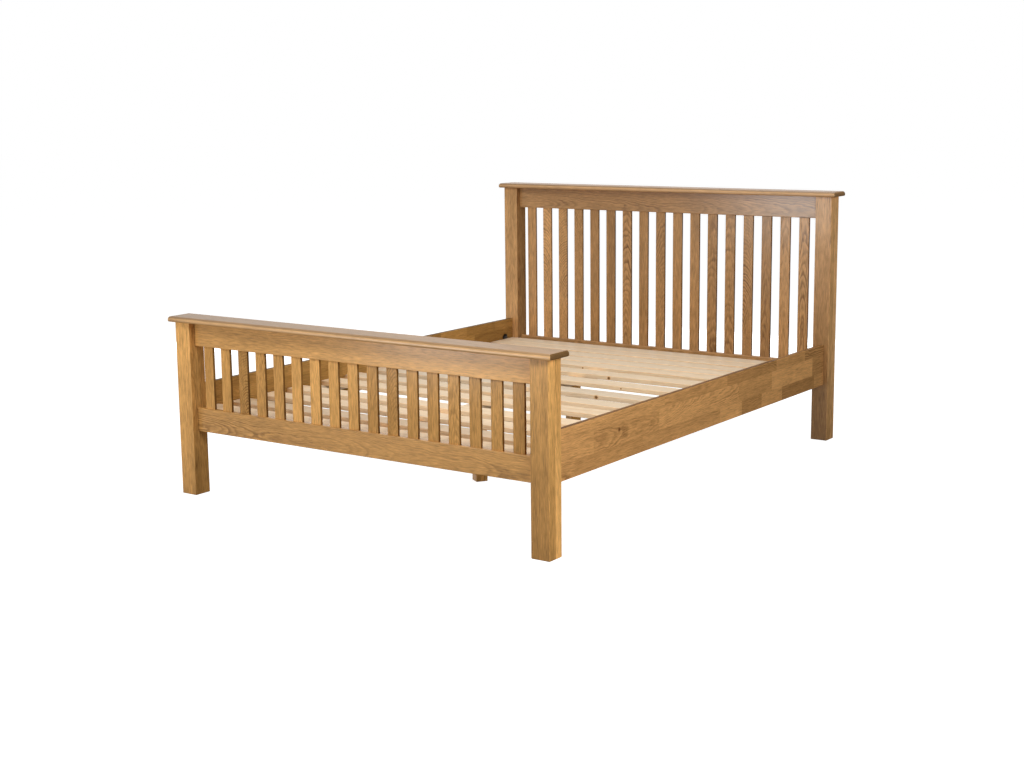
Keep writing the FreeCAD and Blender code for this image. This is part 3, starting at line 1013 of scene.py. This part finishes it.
@dataclass
class EndFrame:
    """The head or the foot: two glued-up posts, two rails, a cap and the spindles between the rails."""

    name: str
    finishes: EndFinishes
    row: StickRow
    yard: TimberYard
    cap: Look
    posts: dict[str, tuple[Look, Look]]
    rails: dict[str, Look]
    spindles: Sequence[Look]
    post_arris: float = 0.0025
    rail_arris: float = 0.0018
    spindle_arris: float = 0.0018
    # Painted shade on the spindles' narrow sides, in steps of tone
    spindle_painted_shade: float = 1.4
    spindle_steps: int = 2

    def build(self) -> None:
        """Builds and dresses every piece of the frame."""
        Cap(f"{self.name}_cap", self.finishes.cap, self.yard, self.cap).build()
        for side, looks in self.posts.items():
            self.build_post(f"{self.name}_post_{side}", looks)
        for rail, look in self.rails.items():
            self.build_rail(f"{self.name}_{rail}", look)
        self.build_spindles()

    def build_post(self, node: str, looks: tuple[Look, Look]) -> None:
        """A square post, glued up from two halves.

        Args:
            node: The post's node.
            looks: How its half towards the foot and its half towards the head look.
        """
        low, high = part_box(node)
        high.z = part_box(f"{self.name}_cap")[0].z
        middle = (low + high) / 2
        made = eased_block(low, high, self.post_arris)
        cut_across(made, middle, 1)
        halves = [self.yard.stick(middle, Lie.UPRIGHT, look) for look in looks]
        timber(f"{node}_timber", node, made, self.finishes.posts, lambda face: halves[face.y > middle.y])

    def build_rail(self, node: str, look: Look) -> None:
        """A level rail between the posts.

        Args:
            node: The rail's node.
            look: How it looks.
        """
        low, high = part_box(node)
        low.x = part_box(f"{self.name}_post_left")[1].x
        high.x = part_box(f"{self.name}_post_right")[0].x
        made = eased_block(low, high, self.rail_arris)
        stick = self.yard.stick((low + high) / 2, Lie.END_RAIL, look)
        timber(f"{node}_board", node, made, self.finishes.rails, lambda face: stick)

    def build_spindles(self) -> None:
        """The flat upright spindles, as they show between the rails."""
        nodes = [f"{self.name}_spindle_{i:02d}" for i in range(1, len(self.spindles) + 1)]
        boxes = [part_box(node) for node in nodes]
        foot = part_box(f"{self.name}_bottom_rail")[1].z
        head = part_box(f"{self.name}_top_rail")[0].z
        sticks = []
        for (low, high), look in zip(boxes, self.spindles):
            middle = (low + high) / 2
            middle.z = (foot + head) / 2
            sticks.append(self.yard.stick(middle, Lie.UPRIGHT, look))
        size = boxes[0][1] - boxes[0][0]
        spindles = self.row.grow(f"{self.name}_spindles", sticks, {
            "Width": size.x, "Thickness": size.y, "Length": head - foot, "Edge Radius": self.spindle_arris,
            "Painted Edge Light And Shade": self.spindle_painted_shade, "Knot Depth": size.y / 2, "Steps": self.spindle_steps,
            "Turn": (0.0, 0.0, math.pi / 2), "Finish": self.finishes.spindles})
        hand_over(spindles, nodes)


@dataclass(frozen=True)
class StaveRow:
    """One row of staves in a side rail: its height, where its staves end and how they look, from the foot."""

    height: float
    ends: Sequence[float]
    looks: Sequence[Look]


@dataclass
class SideRail:
    """A deep side rail, glued up from rows of staves, with a bolt pocket inside at each end."""

    side: str
    finish: Material
    nodes: dict[str, Object]
    yard: TimberYard
    rows: Sequence[StaveRow]
    arris: float = 0.002
    pocket_radius: float = 0.022
    pocket_depth: float = 0.017
    pocket_setback: float = 0.062
    pocket_steps: int = 48

    def build(self) -> None:
        """Builds and dresses the rail."""
        node = f"side_rail_{self.side}"
        low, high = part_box(node)
        made = eased_block(low, high, self.arris)
        level = low.z
        laid = []
        for row in self.rows:
            top = level + row.height
            if top < high.z - self.arris:
                cut_across(made, Vector((0, 0, top)), 2)
            laid.append((top, self.lay_row(low, high, level + row.height / 2, row)))
            level = top
        level = low.z
        for top, staves in laid:
            for end, _ in staves[:-1]:
                cut_across(made, Vector((0, end, 0)), 1, lambda face: level < face.z < top)
            level = top

        def pick(face: Vector) -> Stick:
            """The stave that a face belongs to."""
            staves = next((row for top, row in laid if face.z < top), laid[-1][1])
            return next((stick for end, stick in staves if face.y < end), staves[-1][1])

        cutters = self.pocket_cutters(low, high)
        timber(f"{node}_staves", node, made, self.finish, pick, cutters=cutters)

    def lay_row(self, low: Vector, high: Vector, level: float, row: StaveRow) -> list[tuple[float, Stick]]:
        """Staves end to end along the rail.

        Args:
            low: The rail's lowest corner.
            high: The rail's highest corner.
            level: The middle height of the row.
            row: The row.

        Returns:
            Where each stave ends, and the stave.
        """
        laid = []
        start = low.y
        for end, look in zip((*row.ends, high.y), row.looks):
            middle = Vector(((low.x + high.x) / 2, (start + end) / 2, level))
            laid.append((end, self.yard.stick(middle, Lie.SIDE_RAIL, look)))
            start = end
        return laid

    def pocket_cutters(self, low: Vector, high: Vector) -> list[Object]:
        """Round cutters for the two bolt pockets.

        Args:
            low: The rail's lowest corner.
            high: The rail's highest corner.

        Returns:
            The cutters.
        """
        stud = islands(self.nodes["bed_studs"])[0]
        inner = high.x if self.side == "left" else low.x
        cutters = []
        for end, y in (("foot", low.y + self.pocket_setback), ("head", high.y - self.pocket_setback)):
            made = bmesh.new()
            bmesh.ops.create_cone(made, cap_ends=True, segments=self.pocket_steps, radius1=self.pocket_radius,
                                  radius2=self.pocket_radius, depth=2 * self.pocket_depth)
            bmesh.ops.rotate(made, matrix=Matrix.Rotation(math.pi / 2, 3, "Y"), verts=made.verts)
            bmesh.ops.translate(made, vec=(inner, y, (stud[0].z + stud[1].z) / 2), verts=made.verts)
            name = f"{self.side}_{end}_pocket"
            cutters.append(new_object(name, close(made, name)))
        return cutters


@dataclass
class SlatBase:
    """The pine boards and what carries them: ledgers, the centre rail and its cleats.

    The painted edge light is in steps of tone: painted light and a fuller tan on the boards' narrow faces,
    which lie in the foot's shade. A step lower, pine gives back more light and is fuller in colour.
    """

    finish: Material
    nodes: dict[str, Object]
    row: StickRow
    yard: TimberYard
    boards: Sequence[Look]
    # Painted light on the boards' narrow faces
    painted_edge_light: float = 0.38
    bow_steps: int = 25
    arris: float = 0.0022
    batten: Look = Look(sawn=FLAT)

    def build(self) -> None:
        """Builds and dresses every piece of the base."""
        boxes = sorted(islands(self.nodes["base_slats"]), key=lambda box: -box[0].y)
        sticks = [self.yard.stick((low + high) / 2, Lie.FLAT_ACROSS, look)
                  for (low, high), look in zip(boxes, self.boards)]
        size = boxes[0][1] - boxes[0][0]
        boards = self.row.grow("base_slat_boards", sticks, {
            "Width": size.y, "Thickness": size.z, "Length": size.x, "Edge Radius": self.arris,
            "Painted Edge Light And Shade": self.painted_edge_light, "Knot Depth": 0.0, "Steps": self.bow_steps,
            "Turn": (0.0, math.pi / 2, 0.0), "Finish": self.finish})
        hand_over(boards, ["base_slats"])
        for node in ("slat_ledger_left", "slat_ledger_right", "centre_rail"):
            low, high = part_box(node)
            made = eased_block(low, high, self.arris)
            stick = self.yard.stick((low + high) / 2, Lie.FLAT_ALONG, self.batten)
            timber(f"{node}_batten", node, made, self.finish, lambda face: stick)
        self.build_cleats("centre_rail_cleats")

    def build_cleats(self, node: str) -> None:
        """The two blocks that carry the ends of the centre rail.

        Args:
            node: Their node.
        """
        boxes = sorted(islands(self.nodes[node]), key=lambda box: box[0].y)
        whole = bmesh.new()
        for low, high in boxes:
            mesh = close(eased_block(low, high, self.arris), "cleat")
            whole.from_mesh(mesh)
            bpy.data.meshes.remove(mesh)
        sticks = [self.yard.stick((low + high) / 2, Lie.FLAT_ACROSS, self.batten) for low, high in boxes]
        timber("centre_rail_cleat_blocks", node, whole, self.finish, lambda face: sticks[face.y > 0])


@dataclass
class CentreLeg:
    """A square leg that screws in under the centre rail."""

    place: str
    finish: Material
    yard: TimberYard
    turn: float
    arris: float = 0.002
    side: float = 0.045

    def build(self) -> None:
        """Builds and dresses the leg, turned on its bolt as it stands."""
        node = f"centre_leg_{self.place}"
        low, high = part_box(node)
        middle = (low + high) / 2
        half = Vector((self.side / 2, self.side / 2, (high.z - low.z) / 2))
        made = eased_block(middle - half, middle + half, self.arris)
        turn = Matrix.Rotation(math.radians(self.turn), 3, "Z")
        bmesh.ops.rotate(made, cent=middle, matrix=turn, verts=made.verts)
        stick = self.yard.stick(middle, Lie.UPRIGHT, Look())
        timber(f"{node}_timber", node, made, self.finish, lambda face: stick, body=node)


@dataclass
class Fasteners:
    """Bolts, washers, nuts, inserts and dowels, which keep the shapes of the frame."""

    finishes: Finishes
    nodes: dict[str, Object]
    eased: Sequence[str] = ("half_moon_washers", "stud_nuts")
    plain: Sequence[str] = ("bed_studs", "insert_nuts", "hanger_bolt_front", "hanger_bolt_rear")
    edge: float = 0.0004
    edge_steps: int = 2
    weld: float = 0.00001

    def build(self) -> None:
        """Dresses every fastener."""
        for node in (*self.plain, *self.eased):
            self.dress(node, self.finishes.steel)
        for node in self.eased:
            part = self.nodes[node]
            part.modifiers.new("joined", "WELD").merge_threshold = self.weld
            eased = part.modifiers.new("eased", "BEVEL")
            eased.width = self.edge
            eased.segments = self.edge_steps
        self.dress("dowels", self.finishes.beech)

    def dress(self, node: str, finish: Material) -> None:
        """Gives a node of the frame its finish.

        Args:
            node: The node's name.
            finish: Its material.
        """
        mesh = self.nodes[node].data
        mesh.materials.clear()
        mesh.materials.append(finish)
        LOG.info("%s: kept, finished as %s", node, finish.name)


class Falls(Enum):
    """Where a lamp's light falls: whether on dull surfaces, and whether on shiny ones."""

    EVERYWHERE = (True, True)
    DULL_ONLY = (True, False)
    SHINY_ONLY = (False, True)


@dataclass(frozen=True)
class Lamp:
    """A soft lamp: where it hangs, what it faces, its width and height, its watts and where they fall."""

    name: str
    place: tuple[float, float, float]
    target: tuple[float, float, float]
    size: tuple[float, float]
    power: float
    falls: Falls = Falls.EVERYWHERE

    def hang(self) -> None:
        """Puts the lamp in the scene."""
        light = bpy.data.lights.new(self.name, "AREA")
        light.shape = "RECTANGLE"
        light.size, light.size_y = self.size
        light.energy = self.power
        lamp = new_object(self.name, light)
        lamp.location = self.place
        lamp.rotation_euler = (Vector(self.target) - Vector(self.place)).to_track_quat("-Z", "Y").to_euler()
        lamp.visible_camera = False
        lamp.visible_diffuse, lamp.visible_glossy = self.falls.value


@dataclass(frozen=True)
class Studio:
    """A plain pale floor, soft light and the camera at the photograph's viewing angle."""

    camera_place: tuple[float, float, float] = (3.4437, -5.0362, 1.4298)
    yaw: float = 35.466
    pitch: float = 9.755
    roll: float = -0.679
    focal_pixels: float = 1593.33
    principal_x: float = 497.66
    principal_y: float = 368.24
    sensor: float = 36.0
    farthest: float = 200.0
    floor_side: float = 60.0
    floor_bounce: float = 0.4
    floor_shown: float = 0.5
    floor_glow: float = 0.9
    sky_strength: float = 0.2
    lamps: Sequence[Lamp] = (
        Lamp("key", (-1.4, -3.6, 0.6), (-0.2, -0.6, 0.6), (0.9, 1.1), 34.0),
        Lamp("front", (0.3, -3.4, 3.6), (0.0, 0.0, 0.3), (1.2, 1.2), 60.0),
        Lamp("fill", (2.6, -1.6, 1.5), (0.8, -0.5, 0.4), (1.0, 1.0), 26.0),
        Lamp("side", (4.0, -0.6, 1.6), (0.0, -0.6, 0.4), (1.2, 1.2), 12.0),
        Lamp("overhead", (0.1, 0.8, 3.4), (0.1, 0.8, 0.0), (2.2, 2.2), 45.0),
        Lamp("back", (0.0, 3.6, 0.45), (0.0, 1.0, 0.5), (2.4, 0.6), 28.0, Falls.DULL_ONLY),
        Lamp("left", (-3.4, 1.8, 0.25), (-0.8, 0.4, 0.25), (1.0, 0.4), 20.0, Falls.DULL_ONLY),
        Lamp("sheen", (-1.4, -3.55, 0.53), (0.7, 1.0, 0.9), (0.5, 0.5), 10.0, Falls.SHINY_ONLY))

    def build(self) -> None:
        """Sets up the camera, the light and the floor."""
        self.set_camera()
        self.set_sky()
        self.set_floor()
        for lamp in self.lamps:
            lamp.hang()
        bpy.context.scene.view_settings.view_transform = "Standard"

    def set_camera(self) -> None:
        """Places the camera and its lens."""
        yaw, pitch, roll = (math.radians(angle) for angle in (self.yaw, self.pitch, self.roll))
        ahead = Vector((-math.sin(yaw) * math.cos(pitch), math.cos(yaw) * math.cos(pitch), -math.sin(pitch)))
        level = Vector((math.cos(yaw), math.sin(yaw), 0.0))
        over = level.cross(ahead)
        right = math.cos(roll) * level + math.sin(roll) * over
        up = math.cos(roll) * over - math.sin(roll) * level
        lens = bpy.data.cameras.new("camera")
        lens.sensor_width = self.sensor
        lens.lens = self.focal_pixels / PHOTO_WIDTH * self.sensor
        lens.shift_x = (PHOTO_WIDTH / 2 - self.principal_x) / PHOTO_WIDTH
        lens.shift_y = (self.principal_y - PHOTO_HEIGHT / 2) / PHOTO_WIDTH
        lens.clip_end = self.farthest
        camera = new_object("camera", lens)
        turn = Matrix((right, up, -ahead)).transposed().to_4x4()
        camera.matrix_world = Matrix.Translation(self.camera_place) @ turn
        bpy.context.scene.camera = camera

    def seen(self, sketch: Sketch, lighting: Node, shown: Node) -> Socket:
        """One shader for what is seen, also in shiny surfaces, and another for light on its way elsewhere.

        Args:
            sketch: The sketch of the sky or the floor.
            lighting: The shader for light on its way elsewhere.
            shown: The shader for what is seen.

        Returns:
            Both together.
        """
        path = sketch.add("ShaderNodeLightPath").outputs
        shiny = sketch.math("MAXIMUM", path["Is Glossy Ray"], path["Is Transmission Ray"])
        share = sketch.math("MAXIMUM", path["Is Camera Ray"], shiny)
        both = {0: share, 1: lighting.outputs[0], 2: shown.outputs[0]}
        return sketch.add("ShaderNodeMixShader", both).outputs[0]

    def set_sky(self) -> None:
        """An even sky that looks white."""
        world = bpy.data.worlds.new("sky")
        bpy.context.scene.world = world
        world.use_nodes = True
        sketch = Sketch(world.node_tree)
        light = sketch.add("ShaderNodeBackground", {"Color": WHITE, "Strength": self.sky_strength})
        white = sketch.add("ShaderNodeBackground", {"Color": WHITE, "Strength": 1.0})
        sketch.add("ShaderNodeOutputWorld", {"Surface": self.seen(sketch, light, white)})

    def set_floor(self) -> None:
        """A pale floor that fades into the sky and keeps a faint shadow."""
        half = self.floor_side / 2
        corners = [(-half, -half, 0), (half, -half, 0), (half, half, 0), (-half, half, 0)]
        mesh = bpy.data.meshes.new("floor")
        mesh.from_pydata(corners, [], [(0, 1, 2, 3)])
        material, sketch = new_material("floor")
        plain, faint = (sketch.add("ShaderNodeBsdfDiffuse", {"Color": (grey, grey, grey, 1.0)})
                        for grey in (self.floor_bounce, self.floor_shown))
        glow = sketch.add("ShaderNodeEmission", {"Color": WHITE, "Strength": self.floor_glow})
        shown = sketch.add("ShaderNodeAddShader", {0: faint.outputs[0], 1: glow.outputs[0]})
        sketch.add("ShaderNodeOutputMaterial", {"Surface": self.seen(sketch, plain, shown)})
        mesh.materials.append(material)
        floor = new_object("floor", mesh)


def head_frame(finishes: EndFinishes, row: StickRow) -> EndFrame:
    """The head, with the looks of its sticks from left to right.

    Args:
        finishes: Its materials.
        row: The tree that sets out its spindles.

    Returns:
        The head, ready to build.
    """
    spindles = (Look(-0.17, RIFT, 0.3), Look(0.2, FLAT, 0.9, 0.22), Look(-0.06, FLAT, 1.1, 0.28),
                Look(-0.35, RIFT, 0.7, 0.2), Look(-0.65, QUARTER, 0.4), Look(-0.75, RIFT, 0.5, 0.03),
                Look(-0.3, HEART, 1.5, 0.12), Look(-0.55, QUARTER, 0.4), Look(-0.5, FLAT, 0.8, 0.15),
                Look(-0.5, QUARTER, 0.3), Look(-0.4, RIFT, 0.5, 0.05), Look(-0.6, HEART, 1.0, 0.08),
                Look(-0.5, HEART, 1.1, 0.1), Look(-0.35, FLAT, 1.2, 0.22), Look(-0.75, HEART, 0.9, 0.05),
                Look(-0.3, HEART, 0.9, 0.06), Look(-0.2, HEART, 1.1, 0.05))
    # The right post's drift paints shade low down, under the side rail
    posts = {"left": (Look(0.02, QUARTER, 0.4, flank=1.0), Look(-0.1, RIFT, 0.5, flank=1.0)),
             "right": (Look(-0.62, RIFT, 0.5, flank=-0.94, drift=1.1),
                       Look(0.0, QUARTER, 0.4, flank=-0.6, drift=0.7))}
    rails = {"top_rail": Look(-0.58, FLAT, 1.0, 0.05, drift=-0.36), "bottom_rail": Look(-0.3, FLAT, 0.6)}
    # The cap's upper and under paint shade on its top and below its nose
    cap = Look(0.0, FLAT, 0.6, flank=0.9, upper=1.1, under=0.3)
    return EndFrame("head", finishes, row, TimberYard(seed=11), cap, posts, rails, spindles)


def foot_frame(finishes: EndFinishes, row: StickRow) -> EndFrame:
    """The foot, with the looks of its sticks from left to right.

    Args:
        finishes: Its materials.
        row: The tree that sets out its spindles.

    Returns:
        The foot, ready to build.
    """
    spindles = (Look(-0.3, RIFT, 0.4), Look(-0.22, QUARTER, 0.4), Look(-0.6, FLAT, 1.3, 0.3),
                Look(-0.11, RIFT, 0.8, 0.1), Look(-0.15, RIFT, 0.6), Look(0.19, QUARTER, 0.4),
                Look(0.33, FLAT, 0.6, 0.05), Look(0.06, RIFT, 0.5), Look(0.12, QUARTER, 0.4),
                Look(-0.25, FLAT, 0.6, 0.05), Look(-0.45, FLAT, 1.1, 0.2), Look(-0.2, RIFT, 0.5),
                Look(-0.25, QUARTER, 0.4), Look(-0.05, HEART, 0.8, 0.08), Look(-0.15, RIFT, 0.4),
                Look(-0.1, RIFT, 0.7, 0.05), Look(-0.43, QUARTER, 0.5))
    # The drift of the posts' front halves paints light towards their tops
    posts = {"left": (Look(-0.03, RIFT, 0.6, flank=0.15, drift=1.5), Look(-0.1, RIFT, 0.5, flank=0.1)),
             "right": (Look(-0.28, RIFT, 0.7, flank=-0.55, drift=1.1),
                       Look(-0.15, QUARTER, 0.5, flank=-0.6, drift=-1.2))}
    rails = {"top_rail": Look(0.1, QUARTER, 0.7, 0.03, drift=0.35),
             "bottom_rail": Look(-0.3, FLAT, 0.9, 0.03, drift=0.15)}
    # The cap's upper and under paint shade on its top and below its nose; its darker end grain is deepened
    # with painted shade
    cap = Look(0.0, FLAT, 0.6, flank=2.3, upper=0.95, under=0.4, drift=0.2)
    return EndFrame("foot", finishes, row, TimberYard(seed=23), cap, posts, rails, spindles)


def right_rail(finish: Material, nodes: dict[str, Object]) -> SideRail:
    """The right side rail, with its staves from the foot to the head, row by row upwards.

    Args:
        finish: Its material.
        nodes: The frame's nodes.

    Returns:
        The rail, ready to build.
    """
    low = (Look(0.0, FLAT, 0.9), Look(-0.16, RIFT, 0.6), Look(0.0, QUARTER, 0.6), Look(0.28),
           Look(-0.35, FLAT, 0.8), Look(0.17, QUARTER), Look(-0.55), Look(-0.08))
    middle = (Look(0.1, RIFT, 0.7), Look(0.0, HEART, 0.7, 0.03, knot=(-0.053, 0.013, 0.005)),
              Look(0.26, FLAT, 0.8, 0.05), Look(-0.08, QUARTER), Look(0.33), Look(-0.22, FLAT))
    # The top row's upper paints shade on the rail's top, less of it towards the head
    top = (Look(0.15, upper=1.9), Look(0.0, QUARTER, upper=1.8), Look(-0.3, FLAT, 0.8, upper=1.6),
           Look(0.1, upper=1.4), Look(-0.05, QUARTER, upper=1.2), Look(-0.25, FLAT, 1.3, upper=1.0))
    rows = (StaveRow(0.055, (-0.894, -0.468, 0.092, 0.266, 0.432, 0.612, 0.912), low),
            StaveRow(0.073, (-0.781, -0.357, 0.239, 0.519, 0.892), middle),
            StaveRow(0.04, (-0.32, 0.146, 0.559, 0.666, 0.819), top))
    return SideRail("right", finish, nodes, TimberYard(seed=47), rows)


def left_rail(finish: Material, nodes: dict[str, Object]) -> SideRail:
    """The left side rail, with its staves from the foot to the head, row by row upwards.

    Args:
        finish: Its material.
        nodes: The frame's nodes.

    Returns:
        The rail, ready to build.
    """
    # The staves that end at the head are darker: painted shade next to the head post
    low = (Look(-0.15), Look(-0.2, FLAT, 0.7), Look(-0.5, QUARTER), Look(-0.25), Look(-0.85, FLAT, 0.6))
    middle = (Look(0.05, FLAT, 0.8), Look(-0.5), Look(-0.2), Look(-0.4, QUARTER), Look(-0.9))
    # The top row's upper paints shade on the rail's top
    top = (Look(-0.2, upper=1.8), Look(-0.2, QUARTER, upper=1.6), Look(-0.5, FLAT, 0.7, upper=1.6),
           Look(-0.25, upper=1.6), Look(-0.65, upper=1.5), Look(-0.5, FLAT, upper=1.5))
    rows = (StaveRow(0.055, (-0.62, -0.11, 0.37, 0.78), low),
            StaveRow(0.073, (-0.71, -0.21, 0.29, 0.7), middle),
            StaveRow(0.04, (-0.53, -0.02, 0.45, 0.64, 0.86), top))
    return SideRail("left", finish, nodes, TimberYard(seed=31), rows)


def slat_base(finish: Material, nodes: dict[str, Object], row: StickRow) -> SlatBase:
    """The slatted base, with the looks of its boards from the head to the foot.

    Args:
        finish: Its material.
        nodes: The frame's nodes.
        row: The tree that sets out its boards.

    Returns:
        The base, ready to build.
    """
    boards = (Look(0.0, FLAT, 0.4), Look(-0.05, FLAT, 0.6, knot=(-0.264, 0.03, 0.005)),
              Look(0.03, RIFT, 0.5), Look(0.0, HEART, 0.5),
              Look(-0.06, FLAT, 0.6, knot=(-0.06, -0.043, 0.003)),
              Look(-0.06, RIFT, 0.5, knot=(0.158, -0.043, 0.0055)),
              Look(-0.08, FLAT, 0.6, knot=(0.33, -0.043, 0.0025), bow=0.0046),
              Look(0.1, FLAT, 0.5, knot=(0.337, -0.043, 0.0065), bow=0.0025),
              # The boards nearest the foot have lower tones, which paint light on pine where the foot shades
              # them; their under trims the painted light on their narrow faces
              Look(-0.05, RIFT, 0.4, bow=0.0022), Look(-0.2, HEART, 0.6, under=-0.1),
              Look(-0.26, FLAT, 0.5, under=-0.16),
              Look(-0.3, RIFT, 0.5, under=-0.2, knot=(-0.31, 0.012, 0.006)),
              Look(-0.3, FLAT, 0.5, under=-0.2), Look(-0.3, FLAT, 0.5, under=-0.2))
    return SlatBase(finish, nodes, row, TimberYard(seed=53), boards)


def main() -> None:
    """Builds the bedstead's looks, piece by piece."""
    logging.basicConfig(level=logging.INFO, format="%(name)s %(message)s")
    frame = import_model()
    nodes = frame["nodes"]
    finishes = Finishes()
    row = StickRow()
    assemblies = [head_frame(finishes.head, row), foot_frame(finishes.foot, row),
                  left_rail(finishes.left_staves, nodes), right_rail(finishes.right_staves, nodes),
                  slat_base(finishes.pine, nodes, row)]
    for place, seed, degrees in (("front", 61, -33.0), ("rear", 67, -25.0)):
        assemblies.append(CentreLeg(place, finishes.foot.posts, TimberYard(seed), degrees))
    for assembly in (*assemblies, Fasteners(finishes, nodes), Studio()):
        assembly.build()


if __name__ == "__main__":
    main()
